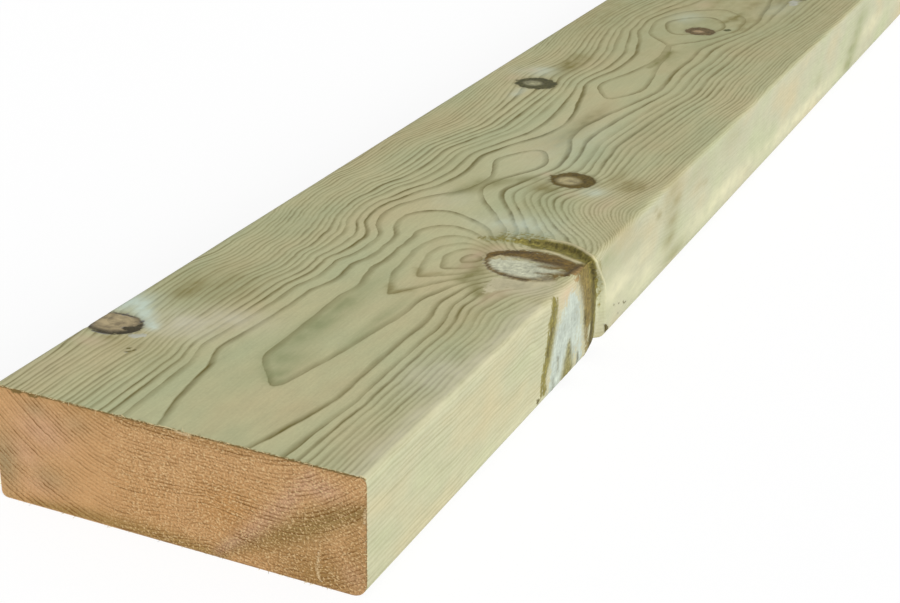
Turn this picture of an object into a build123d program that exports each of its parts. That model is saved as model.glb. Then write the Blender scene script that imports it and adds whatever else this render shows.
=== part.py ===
from build123d import *
import os

# A sawn and planed softwood plank: one piece of timber, so one solid.
# Sizes are in millimetres. +X runs across the board, +Y along it away from the near end, +Z up.
# The origin is the centre of the underside.

board_length = 2400.0
board_width = 147.0
board_thickness = 45.0
arris_radius = 2.5  # three of the four long edges are only just eased
round_arris_radius = 5.5  # the lower one on the right is rounder

# Torn grain behind the edge knot. The planer lifted the steep fibres there, so the face ramps down
# away from the near end and stops at a short wall, the rim. The hollow starts on the top face,
# goes round the right-hand arris and runs down the edge, deepest where it leaves at the bottom.
rim_from_near_end = 214.0  # the rim's top
ramp_length = 24.0  # along the board, from the sound face to the rim
rim_lean = 2.0  # how far the wall leans over its depth
tear_depth = 2.6  # at the upper arris
tear_depth_low = 3.8  # at the lower arris
tear_reach = 36.0  # how far the hollow runs in across the top face before it fades out
floor_radius = 1.2  # between the ramp and the wall

near_end = -board_length / 2
right_edge = board_width / 2

with BuildPart() as plank:
    # The board: its sawn section carried along its length, both ends cut square.
    with BuildSketch(Plane.XZ.offset(-board_length / 2)):
        with Locations((0, board_thickness / 2)):
            Rectangle(board_width, board_thickness)
    extrude(amount=board_length)
    fillet(plank.edges().filter_by(Axis.Y).group_by(Axis.Z)[-1], radius=arris_radius)
    fillet(plank.edges().filter_by(Axis.Y).group_by(Axis.Z)[0].sort_by(Axis.X)[0], radius=arris_radius)
    fillet(plank.edges().filter_by(Axis.Y).group_by(Axis.Z)[0].sort_by(Axis.X)[-1], radius=round_arris_radius)

    # The hollow's line round the arris, in a plane across the board at the rim. It comes down to the
    # top face from above, bends round the arris and leans in on its way down the edge, and it runs
    # past both faces.
    top_slope = tear_depth / tear_reach
    edge_slope = (tear_depth_low - tear_depth) / board_thickness
    run_in = 1.4 * tear_reach
    run_out = board_thickness + 2 * tear_depth_low
    bend_radius = arris_radius + tear_depth
    over_face = 2 * tear_depth_low
    with BuildLine(Plane.XZ.offset(-(near_end + rim_from_near_end))) as tear_line:
        FilletPolyline(
            (right_edge - run_in, board_thickness + top_slope * run_in),
            (right_edge, board_thickness),
            (right_edge - edge_slope * run_out, board_thickness - run_out),
            radius=bend_radius,
        )

    # Its section: a long ramp and a short wall, drawn along the board and outwards from the face.
    section_plane = Plane(origin=tear_line.line @ 0, x_dir=(0, 1, 0), z_dir=tear_line.line % 0)
    with BuildSketch(section_plane) as tear_section:
        with BuildLine():
            Polyline(
                (-ramp_length, 0),
                (-rim_lean, -tear_depth),
                (0, 0),
                (0, over_face),
                (-ramp_length, over_face),
                close=True,
            )
        make_face()
        fillet(tear_section.vertices().sort_by(Axis.Y)[0], radius=floor_radius)
    sweep(path=tear_line.line, mode=Mode.SUBTRACT)

plank.part.label = "plank"

os.makedirs("parts", exist_ok=True)
export_step(plank.part, "parts/plank.step")
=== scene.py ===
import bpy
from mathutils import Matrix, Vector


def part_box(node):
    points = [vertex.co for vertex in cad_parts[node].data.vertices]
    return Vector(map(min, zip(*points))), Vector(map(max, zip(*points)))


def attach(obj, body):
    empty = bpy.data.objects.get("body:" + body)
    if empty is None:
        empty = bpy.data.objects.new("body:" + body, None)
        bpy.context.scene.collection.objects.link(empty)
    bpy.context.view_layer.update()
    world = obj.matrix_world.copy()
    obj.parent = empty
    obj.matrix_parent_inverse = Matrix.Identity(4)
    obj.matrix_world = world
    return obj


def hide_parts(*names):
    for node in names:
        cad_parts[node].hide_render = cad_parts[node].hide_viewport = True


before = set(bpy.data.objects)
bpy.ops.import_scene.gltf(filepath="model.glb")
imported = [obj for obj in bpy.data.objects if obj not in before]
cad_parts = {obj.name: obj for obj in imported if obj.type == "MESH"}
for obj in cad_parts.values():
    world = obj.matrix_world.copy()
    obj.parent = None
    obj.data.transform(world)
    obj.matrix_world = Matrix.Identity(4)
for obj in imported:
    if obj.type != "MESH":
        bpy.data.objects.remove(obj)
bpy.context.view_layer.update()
print("frame loaded")

import math

import bpy
import numpy as np
from mathutils import Matrix, Vector

# The wood is described in millimetres: x across from the left edge, y from the near end, depth under
# the upper face. The board's skin is unrolled into one sheet: across is x on the upper face, then it
# goes on down the right edge, back under the board and up the left edge.
millimetre = 0.001
low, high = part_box("plank")
board = {
    "width": (high.x - low.x) / millimetre,
    "length": (high.y - low.y) / millimetre,
    "thickness": (high.z - low.z) / millimetre,
    "arris": 2.5,  # radius of three of the long edges
    "roundArris": 5.5,  # and of the lower one on the right
}
girth = 2 * (board["width"] + board["thickness"])


def paint(hexText):
    # sRGB hex turned to linear light
    parts = [int(hexText[i:i + 2], 16) / 255 for i in (0, 2, 4)]
    return [p / 12.92 if p < 0.04045 else ((p + 0.055) / 1.055) ** 2.4 for p in parts] + [1.0]


def addNode(tree, kind, inputs=None, out=0, **settings):
    # inputs: socket number -> a value, or the output that feeds it. settings: the node's own, by name.
    # Gives the output wanted.
    node = tree.nodes.new("ShaderNode" + kind)
    for name, value in settings.items():
        setattr(node, name, value)
    for number, source in (inputs or {}).items():
        if isinstance(source, bpy.types.NodeSocket):
            tree.links.new(source, node.inputs[number])
        else:
            node.inputs[number].default_value = source
    return node.outputs[out] if node.outputs else node


# Camera and light

camera = {
    "focalLength": 69.54,  # mm on a 36 mm wide sensor
    "place": (0.29535, -1.62265, 0.31977),
    "turn": 24.671,  # degrees to the left of straight along the board
    "tilt": -24.086,
    "roll": -1.040,
}
light = {
    "worldStrength": 0.45,
    "sunStrength": 2.8,
    "sunAzimuth": 30,  # degrees from the right edge towards the near end
    "sunElevation": 25,
    "sunSpread": 35,  # a wide soft source
    "floorColour": "EDEDED",
    "floorWhite": 0.78,  # how much of the floor the camera sees as plain white
    "floorGlow": 1.08,
}


def makeCamera():
    data = bpy.data.cameras.new("camera")
    data.sensor_width = 36
    data.lens = camera["focalLength"]
    data.clip_end = 50
    eye = bpy.data.objects.new("camera", data)
    turned = (
        Matrix.Rotation(math.radians(camera["turn"]), 4, "Z")
        @ Matrix.Rotation(math.radians(camera["tilt"]), 4, "X")
        @ Matrix.Rotation(math.radians(camera["roll"]), 4, "Y")
        @ Matrix.Rotation(math.radians(90), 4, "X")
    )
    eye.matrix_world = Matrix.Translation(camera["place"]) @ turned
    bpy.context.collection.objects.link(eye)
    bpy.context.scene.camera = eye


def seenDirectly(tree):
    # 1 for what the camera, a gloss or a glass shows, 0 for what lights the object
    path = addNode(tree, "LightPath").node.outputs
    glossy = addNode(tree, "Math", {0: path[0], 1: path[3]}, operation="MAXIMUM")
    return addNode(tree, "Math", {0: glossy, 1: path[6]}, operation="MAXIMUM")


def makeStage():
    world = bpy.data.worlds.new("studio")
    bpy.context.scene.world = world
    world.use_nodes = True
    tree = world.node_tree
    tree.nodes.clear()
    soft = addNode(tree, "Background", {0: (1, 1, 1, 1), 1: light["worldStrength"]})
    white = addNode(tree, "Background", {0: (1, 1, 1, 1), 1: 1.0})
    mix = addNode(tree, "MixShader", {0: seenDirectly(tree), 1: soft, 2: white})
    addNode(tree, "OutputWorld", {0: mix})

    sun = bpy.data.lights.new("softbox", "SUN")
    sun.energy = light["sunStrength"]
    sun.angle = math.radians(light["sunSpread"])
    azimuth = math.radians(light["sunAzimuth"])
    elevation = math.radians(light["sunElevation"])
    towards = Vector((math.cos(elevation) * math.cos(azimuth), -math.cos(elevation) * math.sin(azimuth),
                      math.sin(elevation)))
    lamp = bpy.data.objects.new("softbox", sun)
    lamp.rotation_euler = towards.to_track_quat("Z", "Y").to_euler()
    bpy.context.collection.objects.link(lamp)

    reach = 20.0
    mesh = bpy.data.meshes.new("floor")
    mesh.from_pydata([(-reach, -reach, 0), (reach, -reach, 0), (reach, reach, 0), (-reach, reach, 0)], [],
                     [(0, 1, 2, 3)])
    floor = bpy.data.objects.new("floor", mesh)
    bpy.context.collection.objects.link(floor)
    card = bpy.data.materials.new("white paper sweep")
    card.use_nodes = True
    tree = card.node_tree
    tree.nodes.clear()
    paper = addNode(tree, "BsdfDiffuse", {0: paint(light["floorColour"])})
    white = addNode(tree, "Emission", {0: (1, 1, 1, 1), 1: light["floorGlow"]})
    share = addNode(tree, "Math", {0: seenDirectly(tree), 1: light["floorWhite"]}, operation="MULTIPLY")
    mix = addNode(tree, "MixShader", {0: share, 1: paper, 2: white})
    addNode(tree, "OutputMaterial", {0: mix})
    mesh.materials.append(card)


bpy.context.scene.view_settings.view_transform = "Standard"
makeCamera()
makeStage()
print("camera and stage made")


# Growth rings

# The field that numbers the rings: a valley runs along the upper face, with its lowest ring on its
# centre line, and the numbers rise to both edges and downwards. Each list gives a value at a few
# distances from the near end. The floor is the ring number on the centre line, inner the rise beside
# it for each mm, and beyond the knee the rings stand closer, outer for each mm. The tip rounds the
# V where the two flanks meet.
growth = {
    "centre": [(0, 86.5), (30, 87), (45, 88), (60, 83), (80, 84.5), (110, 86), (135, 88.5), (152, 91),
        (165, 98), (172, 104), (180, 109), (188, 105), (196, 93), (208, 82), (222, 74), (258, 70), (275, 73),
        (300, 75.5), (340, 75), (370, 76), (410, 75.5), (430, 74), (460, 76), (500, 76), (545, 67),
        (565, 68), (600, 74), (640, 77), (700, 81), (830, 77), (1100, 69), (1400, 79), (1750, 67),
        (2100, 75), (2400, 81)],
    "floor": [(0, 0.6), (42, 0), (60, -0.2), (110, -0.62), (133, -1), (153, -2), (165, -3), (172, -3.9),
        (181, -4.9), (196, -1.4), (208, 0), (222, 1), (240, 1.7), (256, 1.96), (268, 1.96), (277, 1.9),
        (296, 1.4), (318, 2), (340, 2.7), (360, 2.85), (385, 2.6), (411, 2), (432, 1.4), (465, 1.75),
        (485, 1.93), (515, 1.97), (529, 2), (549, 1), (575, 0), (598, 1), (618, 2), (660, 2.6), (830, 1.5),
        (960, 0.3), (1080, 1.8), (1240, 2.6), (1420, 0.6), (1600, -0.8), (1780, 1.2), (1960, 2.4), (2150, 1),
        (2400, -0.6)],
    "innerLeft": [(0, 0.03), (60, 0.02), (110, 0.06), (150, 0.085), (170, 0.11), (183, 0.123), (190, 0.088),
        (200, 0.055), (230, 0.03), (260, 0.03), (340, 0.04), (420, 0.03)],
    "kneeLeft": [(0, 31.5), (60, 34), (110, 30), (150, 42), (170, 50), (183, 55), (190, 47), (200, 37),
        (230, 20), (260, 15), (300, 16), (340, 12), (430, 15), (460, 12), (490, 14), (520, 18), (560, 16),
        (600, 22), (700, 26), (830, 24), (1200, 18), (1500, 28), (1900, 16), (2400, 26)],
    "outerLeft": [(0, 0.36), (60, 0.34), (110, 0.26), (170, 0.2), (230, 0.22), (340, 0.23), (500, 0.2),
        (600, 0.22), (830, 0.24), (1300, 0.3), (1800, 0.22), (2400, 0.32)],
    "innerRight": [(0, 0.03), (60, 0.02), (110, 0.055), (150, 0.08), (165, 0.03), (200, 0.04), (230, 0.03)],
    "kneeRight": [(0, 30), (60, 33), (110, 29), (145, 22), (165, 14), (185, 10), (200, 10), (215, 20),
        (230, 19), (260, 12), (300, 13), (340, 12), (430, 15), (460, 14), (490, 14), (520, 18), (560, 20),
        (600, 24), (830, 24), (1200, 20), (1500, 26), (1900, 18), (2400, 28)],
    "outerRight": [(0, 0.44), (60, 0.4), (110, 0.34), (150, 0.36), (200, 0.36), (215, 0.38), (240, 0.34),
        (300, 0.27), (340, 0.23), (500, 0.2), (600, 0.22), (830, 0.24), (1300, 0.28), (1800, 0.22),
        (2400, 0.34)],
    "tip": [(0, 6), (30, 3), (50, 1.5), (110, 4), (133, 1), (165, 2.5), (185, 4), (222, 8), (250, 2),
        (262, 2), (300, 7), (340, 3), (411, 3), (440, 5), (470, 2), (520, 2), (529, 3), (560, 5), (620, 5),
        (900, 4)],
    "kneeSoftness": 5.5,  # mm
    # over how many mm along the board each is eased: at the face's middle, and away from it
    "eased": {"centre": (3, 40), "floor": (5, 60), "tip": (3, 40), "flank": (5, 40), "crowding": 30},
    # so many mm out from the centre line, or down, the long easing takes over
    "calmFrom": 40,
    "calmDepth": 16,
    # towards the edges the rings close up, by this much more each mm past crowdedFrom
    "crowding": [(0, 0.0008), (150, 0.0012), (260, 0.0045), (2400, 0.005)],
    "crowdedFrom": 34,
    # where the rings stand apart a little: (x, y, half its size both ways, rings)
    "dips": [(142, 190, 22, 38, -5)],
    # how much wide and narrow rings take turns, from the ring evenUpTo on
    "unevenness": 0.15,
    "evenUpTo": 3,
    # rings for each mm downwards, under the centre line, so much less for each mm out to the side,
    # and never less than the last
    "perDepth": [(0, 0.77), (60, 0.77), (150, 0.58), (2400, 0.6)],
    "perDepthLoss": [(0, 0.0042), (60, 0.0042), (150, 0.001), (2400, 0.0016)],
    "perDepthLeast": 0.36,
}

# The knots, each a straight peg of branch wood. at is where its axis meets the upper face, lean how far
# that moves across and along for each mm downwards, size half its width both ways. The dark bark ring
# lies between its edge and its heart, a share of it set off centre. parting is how far, across and
# along, and how much the rings give way round it. The big one at the right edge and the pin knot near
# the end have no tone: they are among the marks.
knotParts = ("at", "lean", "parting", "size", "heart", "offset", "soft", "tone", "rim", "turn")
knots = [dict(zip(knotParts, row)) for row in (
    ((126, 183.5), (0.7, -0.3), (21, 36, 0.6)),
    ((8.6, 60.8), (-0.5, 0.1), (16, 24, 0.5), (11.6, 8.9), 0.86, (-0.4, 0.9), 0.5, "AE9E7A", "4A4230"),
    ((31, 418.7), (-0.35, 0.2), (15, 34, 0.6), (11.4, 10.2), 0.4, (-1.4, -0.6), 1, "A3A07C", "444222"),
    ((104.6, 285.6), (0.3, 0.2), (13, 26, 0.45), (11, 10.2), 0.47, (-1.4, -1.6), 0.9, "B2A67A", "564818"),
    ((77.4, 563.6), (0.05, 0.25), (11, 20, 0.3), (9.2, 8.7), 0.34, (-0.6, -1.2), 1, "AD9670", "5F5030"),
    ((27, 44.4), (-0.3, 0), (5, 9, 0.5)),
    ((91.3, 573.8), (0.1, 0.1), (4, 8, 0.5), (2.3, 2.9), 0.3, (0, 0), 1, "4E4F2A", "4E4F2A"),
    ((52, 1012), (-0.2, 0.2), (14, 30, 0.5), (10, 9.4), 0.55, (-1, 0.8), 0.8, "A9996F", "5E5330"),
    ((118, 1288), (0.25, 0.2), (12, 24, 0.5), (8.4, 8), 0.5, (0.6, -0.9), 1, "A39A74", "625632"),
    ((22, 1624), (-0.5, 0.2), (16, 30, 0.55), (11.6, 10.4), 0.7, (0.8, 0.9), 0.6, "B49A74", "4F4630", 8),
    ((97, 1903), (0.15, 0.2), (13, 26, 0.5), (9.4, 9), 0.45, (-1, 1), 1, "A8A07C", "5C542F"),
    ((140.5, 2056), (0.5, 0.15), (14, 26, 0.5), (8.5, 9), 0.7, (0, 0.8), 0.7, "B09772", "5A4C30"),
    ((61, 2190), (-0.1, 0.2), (10, 20, 0.45), (7.6, 7.2), 0.4, (0.5, 0), 1, "A99A70", "615433"),
)]
knotWidening = 0.006  # for each mm downwards
noKnot = 9.0  # the knots' fields where there is none near


def along(points, y, soft=4.0):
    # a value set at a few distances from the near end, with its corners rounded
    at, value = zip(*points)
    steps = np.linspace(-soft, soft, 5)
    return sum(np.interp(y + step, at, value) for step in steps) / len(steps)


def blended(name, y, share, kind=None):
    # the same value eased over a short stretch and over a long one, mixed
    near, far = growth["eased"][kind or name]
    return along(growth[name], y, near) * (1 - share) + along(growth[name], y, far) * share


def fromAxis(knot, x, y, depth):
    # how far across and along from the knot's axis, which leans
    (atX, atY), (leanX, leanY) = knot["at"], knot["lean"]
    return x - atX - leanX * depth, y - atY - leanY * depth


def ringNumber(x, y, depth):
    # Round a knot the rings of the place nearer its axis are pushed outwards. Then the number is the
    # floor, plus a straight rise from the centre line, plus a steeper one that starts softly at the
    # knee, plus the rise with depth. Outwards and downwards the lists are taken with their long easing.
    # At last good and bad summers make some rings wider than others.
    for knot in knots:
        across, lengthwise, amount = knot["parting"]
        u, v = fromAxis(knot, x, y, depth)
        x = x - u * amount * np.exp(-((u / across) ** 2 + (v / lengthwise) ** 2))
    eased = growth["eased"]
    out = (x - along(growth["centre"], y, eased["centre"][1])) / growth["calmFrom"]
    outside = 1 - np.exp(-(out**2) - depth / growth["calmDepth"])
    inside = np.exp(-depth / growth["calmDepth"])
    offset = x - blended("centre", y, outside)
    distance = np.abs(offset)
    tip = blended("tip", y, 1 - inside)
    rounded = np.sqrt(distance**2 + tip**2) - tip
    inner, knee, outer = (
        np.where(offset < 0, *(blended(name + side, y, 1 - inside, "flank") for side in ("Left", "Right")))
        for name in ("inner", "knee", "outer")
    )
    soft = growth["kneeSoftness"]
    rise = outer * soft * (np.logaddexp(0, (rounded - knee) / soft) - np.logaddexp(0, -knee / soft))
    crowded = np.maximum(rounded - growth["crowdedFrom"], 0)
    rise = rise + along(growth["crowding"], y, eased["crowding"]) * crowded**2
    for dipX, dipY, halfX, halfY, rings in growth["dips"]:
        rise = rise + inside * rings * np.exp(-(((x - dipX) / halfX) ** 2) - ((y - dipY) / halfY) ** 2)
    loss = along(growth["perDepthLoss"], y) * distance
    perDepth = np.maximum(along(growth["perDepth"], y) - loss, growth["perDepthLeast"])
    number = blended("floor", y, outside) + inner * rounded + rise + perDepth * depth
    turns = np.sin(2.3 * number + 1.2 * np.sin(number))
    return number + growth["unevenness"] * np.clip((number - growth["evenUpTo"]) / 2, 0, 1) * turns


def ringPace(x, y, depth, number, normal):
    # Rings for each mm on the surface: the slope of the number, less its part along the normal, and
    # never quite nothing.
    step, least = 0.4, 0.02
    slope = [(ringNumber(x + step, y, depth) - number) / step,
             (ringNumber(x, y + step, depth) - number) / step,
             (number - ringNumber(x, y, depth + step)) / step]
    outwards = sum(s * n for s, n in zip(slope, normal))
    return np.sqrt(np.maximum(sum((s - outwards * n) ** 2 for s, n in zip(slope, normal)), least**2))


def knotFields(x, y, depth):
    # Distance from each knot's axis in its own oval, 1 on the edge, and the same for its heart; the
    # nearest knot gives both, with its colours and how softly its heart ends.
    edge, heart, soft = np.full(x.shape, noKnot), np.full(x.shape, noKnot), np.ones(x.shape)
    tone, rim = np.ones(x.shape + (4,)), np.ones(x.shape + (4,))
    for knot in knots:
        if "tone" not in knot:
            continue
        u, v = fromAxis(knot, x, y, depth)
        turn = math.radians(knot.get("turn", 0))
        wider = 1 + knotWidening * depth
        p = (u * math.cos(turn) - v * math.sin(turn)) / (knot["size"][0] * wider)
        q = (u * math.sin(turn) + v * math.cos(turn)) / (knot["size"][1] * wider)
        outer = np.hypot(p, q)
        offsetP, offsetQ = knot["offset"][0] / knot["size"][0], knot["offset"][1] / knot["size"][1]
        inner = np.hypot(p - offsetP, q - offsetQ) / knot["heart"]
        nearer = outer < edge
        edge, heart = np.where(nearer, outer, edge), np.where(nearer, inner, heart)
        soft = np.where(nearer, knot["soft"], soft)
        tone[nearer], rim[nearer] = paint(knot["tone"]), paint(knot["rim"])
    return edge, heart, soft, tone, rim


# Marks painted on the wood, in order. A stain is soft and lets the grain through, a scar has a ragged
# edge and covers it, and is as rough as torn says. Spots are (across, along, half its size both ways,
# amount) and strokes run through (across, along, half width), with an amount for the whole.
stains = [
    # darkens the upper face alone, most of all at 640 mm from the near end, and fades out on the right arris
    {"name": "darker upper face", "colour": "958F63", "upperOnly": True,
     "spots": [(72, 640, 110, 190, 0.5), (40, 900, 90, 260, 0.36), (100, 1300, 110, 320, 0.3),
        (60, 1750, 100, 320, 0.36), (80, 2250, 100, 330, 0.3), (20, 190, 22, 60, 0.14),
        (15, 340, 22, 60, 0.14), (130, 365, 22, 50, 0.2)]},
    {"name": "brown weathering", "colour": "786A2B",
     "spots": [(17, 101, 6, 13, 0.7), (24, 108, 20, 22, 0.36), (24, 48, 10, 7, 0.2), (41, 42, 12, 12, 0.12),
        (5, 300, 14, 60, 0.1), (126, 133, 3, 30, 0.2), (35, 460, 6, 22, 0.6), (38, 450, 6, 7, 0.3),
        (12, 560, 13, 50, 0.22), (11, 590, 10, 25, 0.2), (79, 364, 5, 34, 0.45), (98, 641, 3.5, 12, 0.5),
        (96, 270, 6, 8, 0.75), (102.6, 269, 2, 4, 0.4), (131, 291, 6, 9, 0.7), (136.5, 291, 1.6, 4, 0.9),
        (122, 297, 4, 12, 0.4), (89, 640, 3.5, 16, 0.35), (101, 655, 7, 14, 0.55), (98, 600, 5, 12, 0.25),
        (67, 640, 5, 20, 0.2), (103, 192, 5, 8, 0.4), (151, 308, 7, 14, 0.3), (158, 312, 5, 10, 0.35),
        (166, 308, 5, 9, 0.4), (174, 305, 4, 9, 0.25), (157, 286, 2, 4, 0.5), (152, 281, 1.6, 3, 0.3),
        (162, 350, 1.6, 8, 0.3), (164, 358, 1.8, 5, 0.3), (150, 240, 8, 20, 0.2), (160, 250, 5, 26, 0.2),
        (155, 340, 6, 30, 0.15), (154, 400, 8, 20, 0.15), (173, 583, 4, 8, 0.2), (14.5, 49, 3, 2.6, 0.6),
        (122, 118, 9, 20, 0.14), (100, 930, 8, 60, 0.3), (30, 1180, 10, 40, 0.3), (84, 1450, 6, 90, 0.25),
        (120, 1700, 12, 60, 0.25), (40, 2010, 10, 60, 0.3), (250, 300, 20, 60, 0.25),
        (230, 1500, 20, 120, 0.25), (360, 700, 12, 90, 0.25), (300, 2000, 20, 150, 0.2),
        (210, 900, 12, 80, 0.2)],
     "strokes": [(0.35, [(128, 150, 2), (120, 158, 2)]),
        (0.5, [(84, 140, 1.2), (88.4, 134, 2.4), (94, 139, 1.2)]),
        (0.4, [(86, 160, 1), (90.6, 154, 2), (97, 160, 1)]),
        (0.5, [(84, 590, 1.6), (87, 602, 3), (88, 612, 2)]),
        (0.5, [(96, 571, 1), (98.5, 580, 2.4), (95, 590, 1.5)]), (0.3, [(125, 140, 1.5), (122, 152, 2)]),
        (0.3, [(133, 165, 1.2), (139, 171, 1.5), (141, 178, 1.5)])]},
    {"name": "olive late wood", "colour": "747038",
     "spots": [(68, 258, 5, 11, 0.7), (104, 176, 4.5, 10, 0.6), (79, 364, 3, 22, 0.35),
        (33, 462, 6, 20, 0.4), (184, 314, 3.4, 15, 0.42), (175, 303, 5, 10, 0.42), (158, 300, 6, 9, 0.26),
        (168, 300, 5, 8, 0.15), (182, 664, 4, 12, 0.5), (174, 676, 4, 14, 0.3)],
     "strokes": [(0.8, [(108, 158, 3), (109.6, 166, 3.4), (105, 176, 2.6)]),
        (0.6, [(62, 242, 2), (68, 256, 5), (76, 268, 4), (87, 280, 3)]),
        (0.6, [(119, 147, 2.4), (114, 156, 3), (111, 164, 3)]),
        (0.16, [(73, 60, 2), (74, 90, 3), (75, 120, 2.6)]),
        (0.75, [(75.6, 474, 0.8), (76.4, 488, 2), (76.4, 512, 2.6)]),
        (0.4, [(86, 590, 2), (89, 602, 3), (87, 618, 2)])]},
    {"name": "moss-green tint", "colour": "848C60",
     "spots": [(78, 98, 6, 46, 0.6), (81, 64, 8.5, 10, 0.55), (85, 52, 5, 7, 0.6), (88, 46, 2.5, 4, 0.6),
        (96, 105, 3, 30, 0.4), (95.5, 112, 2.2, 14, 0.5), (103, 250, 13, 26, 0.25), (112, 214, 12, 7, 0.6),
        (104, 206, 6, 7, 0.6), (75, 335, 12, 18, 0.2), (110, 365, 12, 60, 0.2), (87, 545, 5, 20, 0.2),
        (83, 500, 4.5, 30, 0.2), (47, 285, 10, 50, 0.15), (101, 328, 8, 16, 0.2), (184, 310, 4, 16, 0.4),
        (183, 664, 5, 12, 0.8), (176, 672, 5, 13, 0.75), (168, 684, 6, 16, 0.7), (160, 690, 7, 18, 0.5),
        (70, 582, 9, 14, 0.3), (154, 218, 4, 12, 0.45), (176, 228, 4, 14, 0.2), (160, 211, 6, 5, 0.4),
        (60, 1240, 14, 70, 0.25), (95, 1600, 10, 90, 0.25), (170, 1350, 18, 60, 0.25),
        (260, 700, 26, 120, 0.3), (220, 2150, 20, 120, 0.3)],
     "strokes": [(0.55, [(100, 201, 2), (108, 204, 3), (116, 208, 3)]),
        (0.5, [(86, 44, 1.6), (82, 48.5, 2.4), (78, 53, 2.6), (76.5, 59, 2)])]},
    {"name": "bluish bloom", "colour": "CDDCCC",
     "spots": [(85, 330, 22, 50, 0.15), (5, 79, 8, 9, 1), (106, 222, 18, 12, 0.45), (119, 275, 6, 6, 0.45),
        (19, 437, 12, 8, 0.2), (25, 441, 8, 9, 0.5), (29, 400, 3, 10, 0.4), (61, 590, 9, 14, 0.3),
        (67, 238, 10, 12, 0.15), (104, 640, 10, 20, 0.2), (34, 1320, 12, 40, 0.3), (110, 2120, 14, 50, 0.3)],
     "strokes": [(1, [(24, 64, 2.2), (18, 69, 3), (10, 76, 4)])]},
    {"name": "pinkish early wood", "colour": "C9B494",
     "spots": [(16, 423, 4, 6, 0.5), (20, 440, 5, 4, 0.45), (91, 288, 2.6, 3, 0.5), (128, 262, 5, 12, 0.35),
        (110, 268, 4, 5, 0.35), (9, 44, 7, 4, 0.6), (151, 170, 4, 9, 0.7), (133, 161, 5, 7, 0.45),
        (102, 183, 4, 9, 0.6), (104, 172, 4, 6, 0.5), (107, 192, 5, 6, 0.5), (60, 625, 6, 10, 0.35),
        (8, 20, 9, 14, 0.2), (137, 18, 8, 14, 0.2), (45, 700, 12, 30, 0.3), (74, 1100, 10, 60, 0.3),
        (96, 2300, 14, 50, 0.3)],
     "strokes": [(0.5, [(124, 140, 2), (126, 152, 3.5), (131, 160, 4)])]},
    {"name": "pale worn patch", "colour": "D3CFB8",
     "spots": [(35, 73, 14, 11, 0.65), (46, 84, 15, 9, 0.45), (30, 64, 8, 6, 0.35), (134, 76, 10, 15, 0.4),
        (136, 162, 12, 8, 0.3)]},
    # wear along the upper right arris near the end, lightened also as a painted highlight where the light
    # catches the edge
    {"name": "worn upper arris with painted highlight", "colour": "D2CDAE",
     "strokes": [(0.6, [(143.5, -2, 3.8), (143.5, 146, 3.8)])]},
    {"name": "cream wood low on the edge", "colour": "D2CEAC",
     "spots": [(172, 232, 7, 22, 0.8), (168, 260, 6, 20, 0.4), (186, 120, 4, 60, 0.3),
        (180, 390, 6, 60, 0.7), (180, 270, 6, 30, 0.5), (182, 540, 5, 100, 0.7), (172, 720, 6, 34, 0.6),
        (170, 880, 8, 80, 0.4)]},
]
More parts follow.
